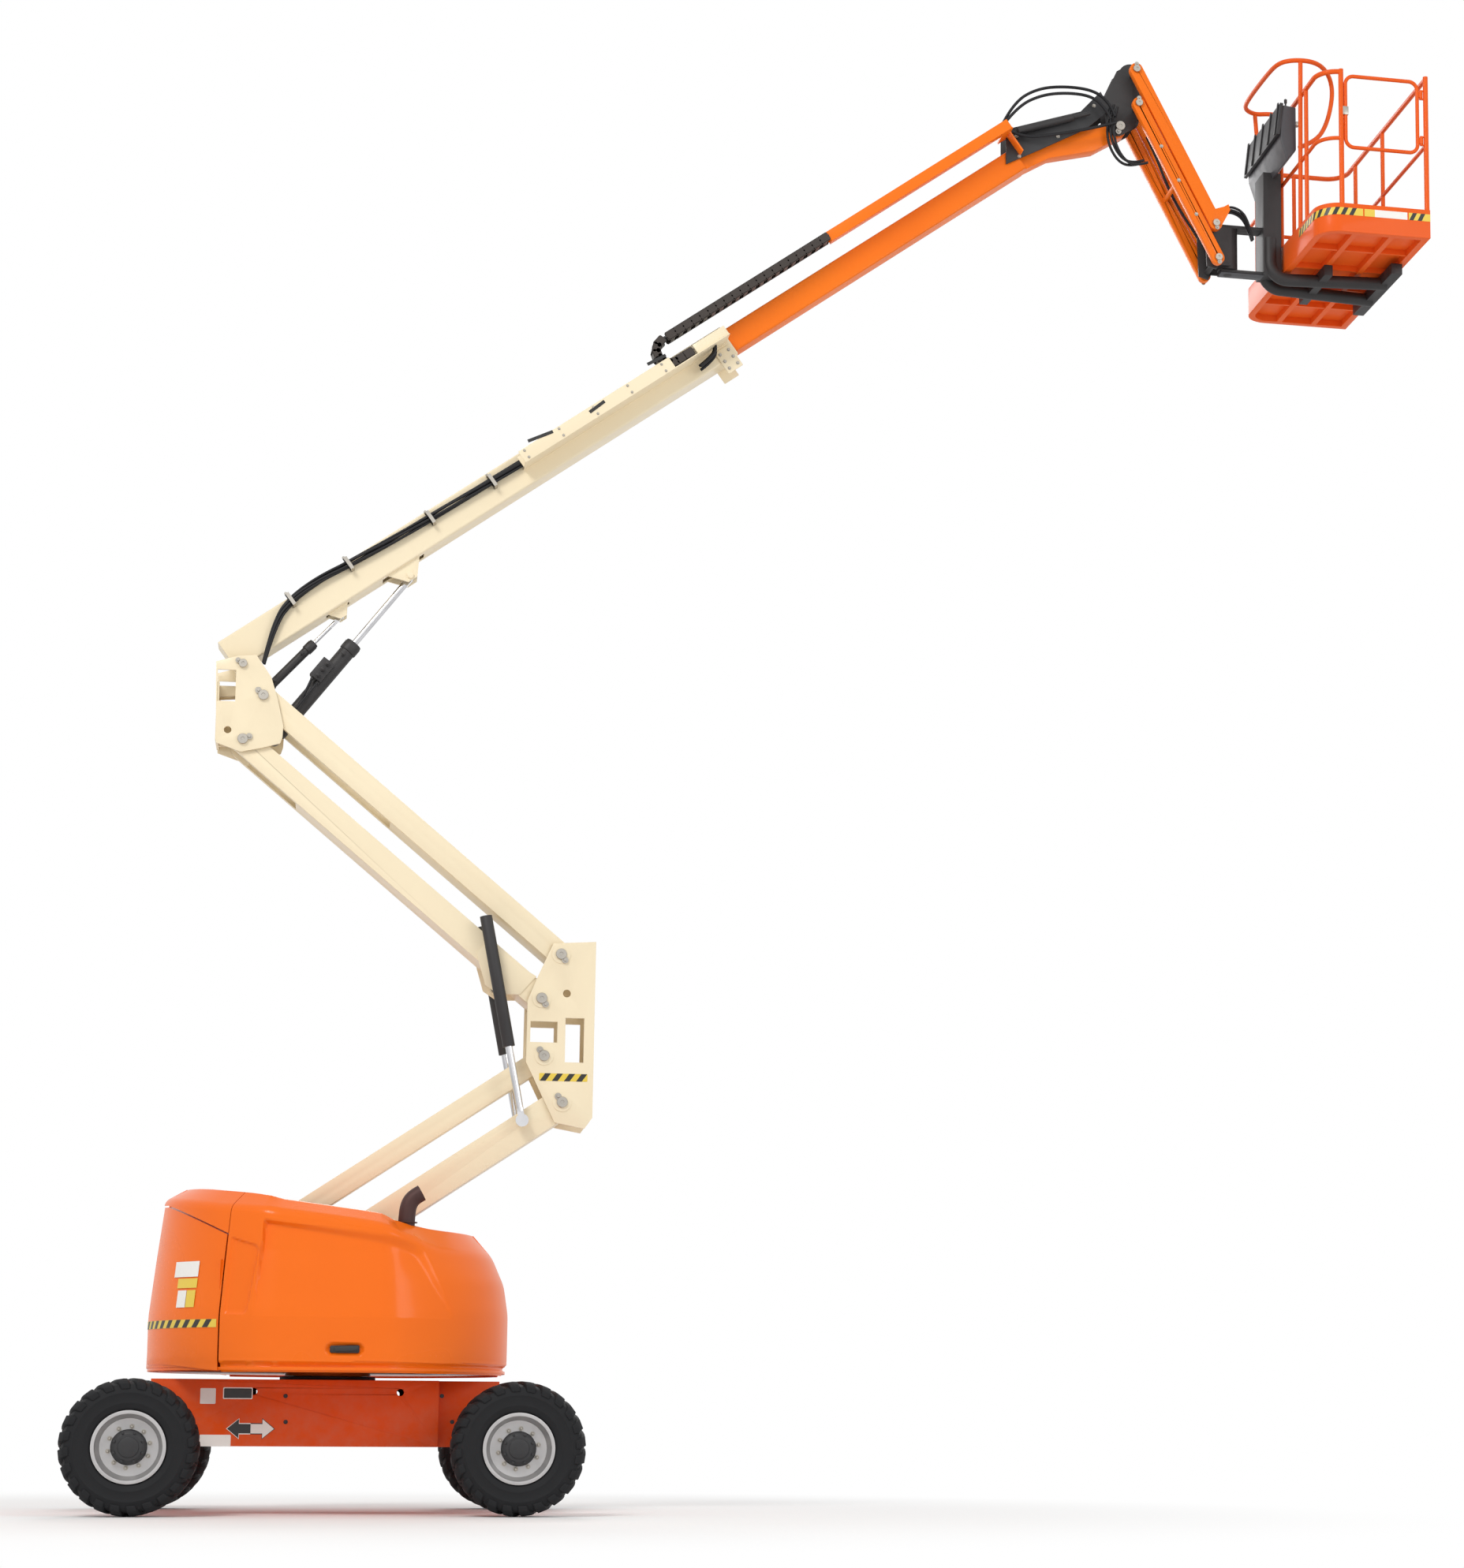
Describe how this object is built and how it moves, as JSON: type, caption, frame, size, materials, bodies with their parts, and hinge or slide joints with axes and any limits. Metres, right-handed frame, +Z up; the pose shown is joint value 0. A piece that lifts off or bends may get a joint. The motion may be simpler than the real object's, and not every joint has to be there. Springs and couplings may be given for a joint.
{
  "type": "articulating boom lift",
  "caption": "Self-propelled articulating boom lift: a two-stage link tower on a round turntable carries a telescopic boom, a jib and a railed work platform.",
  "frame": {"origin": "middle of the whole machine's plan box at ground level, so it lies ahead of the swing axis", "axes": "+X the way the boom points, +Y to the machine's far side, +Z up"},
  "size_m": [8.8283, 2.2688, 10.1913],
  "materials": {
    "chassis_orange": "satin",
    "dark_steel": "satin",
    "orange_gloss": "gloss",
    "tank_black": "matte",
    "tyre_rubber": "matte",
    "rim_grey": "satin",
    "boom_cream": "satin",
    "fly_orange": "gloss",
    "rod_chrome": "polished",
    "chain_dark": "satin",
    "basket_orange": "gloss",
    "console_grey": "matte"
  },
  "bodies": {
    "chassis": {"chassis_frame": "chassis_orange", "front_axle": "chassis_orange", "rear_axle": "chassis_orange", "swing_bearing": "dark_steel"},
    "knuckle_near": {"knuckle_near": "dark_steel"},
    "knuckle_far": {"knuckle_far": "dark_steel"},
    "rear_wheel_near": {"tyre_rear_near": "tyre_rubber", "rim_rear_near": "rim_grey"},
    "rear_wheel_far": {"tyre_rear_far": "tyre_rubber", "rim_rear_far": "rim_grey"},
    "steer_wheel_near": {"tyre_steer_near": "tyre_rubber", "rim_steer_near": "rim_grey"},
    "steer_wheel_far": {"tyre_steer_far": "tyre_rubber", "rim_steer_far": "rim_grey"},
    "turntable": {"turntable_frame": "dark_steel", "counterweight": "orange_gloss", "tail_cover_near": "orange_gloss", "tail_cover_far": "orange_gloss", "engine_block": "dark_steel", "tank_block": "tank_black"},
    "hood_near": {"hood_near": "orange_gloss", "exhaust_pipe": "dark_steel"},
    "hood_far": {"hood_far": "orange_gloss"},
    "lower_main": {"lower_link_main": "boom_cream"},
    "lower_second": {"lower_link_second": "boom_cream"},
    "mid_post": {"mid_post": "boom_cream"},
    "upper_main": {"upper_link_main": "boom_cream"},
    "upper_second": {"upper_link_second": "boom_cream"},
    "top_post": {"top_post": "boom_cream"},
    "tower_barrels": {"tower_barrels": "dark_steel"},
    "tower_rods": {"tower_rods": "rod_chrome"},
    "base_boom": {"base_boom": "boom_cream", "track_tray": "dark_steel"},
    "fly": {"fly_boom": "fly_orange", "push_tube": "fly_orange", "track_upper_run": "chain_dark"},
    "track_loop": {"track_loop": "chain_dark"},
    "lift_barrel": {"lift_barrel": "dark_steel"},
    "lift_rod": {"lift_rod": "rod_chrome"},
    "level_barrel": {"level_barrel": "dark_steel"},
    "level_rod": {"level_rod": "rod_chrome"},
    "jib_head": {"jib_head": "dark_steel"},
    "jib_lower": {"jib_lower_bars": "fly_orange"},
    "jib_upper": {"jib_upper_bars": "fly_orange"},
    "jib_foot": {"jib_foot": "dark_steel"},
    "platform": {"platform_support": "dark_steel", "basket_floor": "basket_orange", "basket_rails": "basket_orange", "control_console": "console_grey"},
    "gate": {"gate": "basket_orange"}
  },
  "joints": [
    {"name": "rear_wheel_near", "type": "hinge", "parent": "chassis", "child": "rear_wheel_near", "pos_m": [-3.99894, -0.98, 0.415], "axis": [0, 1, 0], "continuous": true},
    {"name": "rear_wheel_far", "type": "hinge", "parent": "chassis", "child": "rear_wheel_far", "pos_m": [-3.99894, 0.98, 0.415], "axis": [0, 1, 0], "continuous": true},
    {"name": "steer_near", "type": "hinge", "parent": "chassis", "child": "knuckle_near", "pos_m": [-1.67134, -0.7, 0.415], "axis": [0, 0, 1], "range_deg": [-35, 35]},
    {"name": "steer_wheel_near", "type": "hinge", "parent": "knuckle_near", "child": "steer_wheel_near", "pos_m": [-1.67134, -0.98, 0.415], "axis": [0, 1, 0], "continuous": true},
    {"name": "steer_far", "type": "hinge", "parent": "chassis", "child": "knuckle_far", "pos_m": [-1.67134, 0.7, 0.415], "axis": [0, 0, 1], "range_deg": [-35, 35]},
    {"name": "steer_wheel_far", "type": "hinge", "parent": "knuckle_far", "child": "steer_wheel_far", "pos_m": [-1.67134, 0.98, 0.415], "axis": [0, 1, 0], "continuous": true},
    {"name": "turntable_swing", "type": "hinge", "parent": "chassis", "child": "turntable", "pos_m": [-2.83514, 0, 0.885], "axis": [0, 0, 1], "range_deg": [-177.5, 177.5]},
    {"name": "hood_near_open", "type": "hinge", "parent": "turntable", "child": "hood_near", "pos_m": [-3.28514, -0.2, 1.9527], "axis": [-0.993, 0, 0.1182], "range_deg": [0, 55]},
    {"name": "hood_far_open", "type": "hinge", "parent": "turntable", "child": "hood_far", "pos_m": [-3.28514, 0.2, 1.9527], "axis": [0.993, 0, -0.1182], "range_deg": [0, 55]},
    {"name": "tower_lift", "type": "hinge", "parent": "turntable", "child": "lower_main", "pos_m": [-3.40614, 0, 1.279], "axis": [0, -1, 0], "range_deg": [-34.3, 31]},
    {"name": "lower_second_lift", "type": "hinge", "parent": "turntable", "child": "lower_second", "pos_m": [-3.53014, 0, 1.582], "axis": [0, -1, 0], "range_deg": [-34.3, 31]},
    {"name": "mid_post_level", "type": "hinge", "parent": "lower_main", "child": "mid_post", "pos_m": [-1.3822, 0, 2.65964], "axis": [0, -1, 0], "range_deg": [-31, 34.3]},
    {"name": "upper_main_lift", "type": "hinge", "parent": "mid_post", "child": "upper_main", "pos_m": [-1.5292, 0, 3.34164], "axis": [0, 1, 0], "range_deg": [-39.79, 35.96]},
    {"name": "upper_second_lift", "type": "hinge", "parent": "mid_post", "child": "upper_second", "pos_m": [-1.4072, 0, 3.63864], "axis": [0, 1, 0], "range_deg": [-39.79, 35.96]},
    {"name": "top_post_level", "type": "hinge", "parent": "upper_main", "child": "top_post", "pos_m": [-3.496, 0, 4.98032], "axis": [0, 1, 0], "range_deg": [-35.96, 39.79]},
    {"name": "tower_barrel_swing", "type": "hinge", "parent": "upper_main", "child": "tower_barrels", "pos_m": [-1.82151, 0, 3.4329], "axis": [0, -1, 0], "range_deg": [-36.58, 33.08]},
    {"name": "tower_rod_slide", "type": "slide", "parent": "tower_barrels", "child": "tower_rods", "axis": [0.1929, 0, -0.9812], "range_m": [-0.3399, 0.30739]},
    {"name": "boom_lift", "type": "hinge", "parent": "top_post", "child": "base_boom", "pos_m": [-3.51, 0, 5.48132], "axis": [0, -1, 0], "range_deg": [-36.2, 38.3]},
    {"name": "telescope", "type": "slide", "parent": "base_boom", "child": "fly", "axis": [0.807, 0, 0.5906], "range_m": [-2.3, 0], "deforming": ["track_upper_run"]},
    {"name": "track_follow", "type": "slide", "parent": "base_boom", "child": "track_loop", "axis": [0.807, 0, 0.5906], "range_m": [-1.15, 0]},
    {"name": "lift_barrel_swing", "type": "hinge", "parent": "top_post", "child": "lift_barrel", "pos_m": [-3.305, 0, 5.03032], "axis": [0, -1, 0], "range_deg": [-30.3, 32.05]},
    {"name": "lift_rod_slide", "type": "slide", "parent": "lift_barrel", "child": "lift_rod", "axis": [0.6027, 0, 0.798], "range_m": [-0.27422, 0.29002]},
    {"name": "level_barrel_swing", "type": "hinge", "parent": "top_post", "child": "level_barrel", "pos_m": [-3.375, 0, 5.33532], "axis": [0, -1, 0], "range_deg": [-35.21, 37.24]},
    {"name": "level_rod_slide", "type": "slide", "parent": "level_barrel", "child": "level_rod", "axis": [0.666, 0, 0.7459], "range_m": [-0.12338, 0.13042]},
    {"name": "jib_head_level", "type": "hinge", "parent": "fly", "child": "jib_head", "pos_m": [2.41999, 0, 9.72228], "axis": [0, -1, 0], "range_deg": [-38.3, 36.2]},
    {"name": "jib_lift", "type": "hinge", "parent": "jib_head", "child": "jib_lower", "pos_m": [2.52599, 0, 9.85128], "axis": [0, -1, 0], "range_deg": [-1, 132]},
    {"name": "jib_upper_lift", "type": "hinge", "parent": "jib_head", "child": "jib_upper", "pos_m": [2.50899, 0, 10.10128], "axis": [0, -1, 0], "range_deg": [-1, 132]},
    {"name": "jib_foot_level", "type": "hinge", "parent": "jib_lower", "child": "jib_foot", "pos_m": [3.10344, 0, 8.76525], "axis": [0, -1, 0], "range_deg": [-132, 1]},
    {"name": "platform_rotate", "type": "hinge", "parent": "jib_foot", "child": "platform", "pos_m": [3.22494, 0, 8.76525], "axis": [0, 0, -1], "range_deg": [-90, 90]},
    {"name": "gate_swing", "type": "hinge", "parent": "platform", "child": "gate", "pos_m": [4.36294, -0.898, 9.34995], "axis": [0, 0, -1], "range_deg": [0, 90]}
  ],
  "couplings": [
    {"joint": "steer_far", "follows": "steer_near", "ratio": 1},
    {"joint": "lower_second_lift", "follows": "tower_lift", "ratio": 1},
    {"joint": "mid_post_level", "follows": "tower_lift", "ratio": -1},
    {"joint": "upper_main_lift", "follows": "tower_lift", "ratio": 1.16},
    {"joint": "upper_second_lift", "follows": "tower_lift", "ratio": 1.16},
    {"joint": "top_post_level", "follows": "tower_lift", "ratio": -1.16},
    {"joint": "tower_barrel_swing", "follows": "tower_lift", "ratio": 1.0607},
    {"joint": "tower_rod_slide", "follows": "tower_lift", "m_per_rad": 0.56444},
    {"joint": "track_follow", "follows": "telescope", "ratio": 0.5},
    {"joint": "lift_barrel_swing", "follows": "boom_lift", "ratio": 0.8316},
    {"joint": "lift_rod_slide", "follows": "boom_lift", "m_per_rad": 0.43086},
    {"joint": "level_barrel_swing", "follows": "boom_lift", "ratio": 0.9671},
    {"joint": "level_rod_slide", "follows": "boom_lift", "m_per_rad": 0.19211},
    {"joint": "jib_head_level", "follows": "boom_lift", "ratio": -1},
    {"joint": "jib_upper_lift", "follows": "jib_lift", "ratio": 1},
    {"joint": "jib_foot_level", "follows": "jib_lift", "ratio": -1}
  ]
}
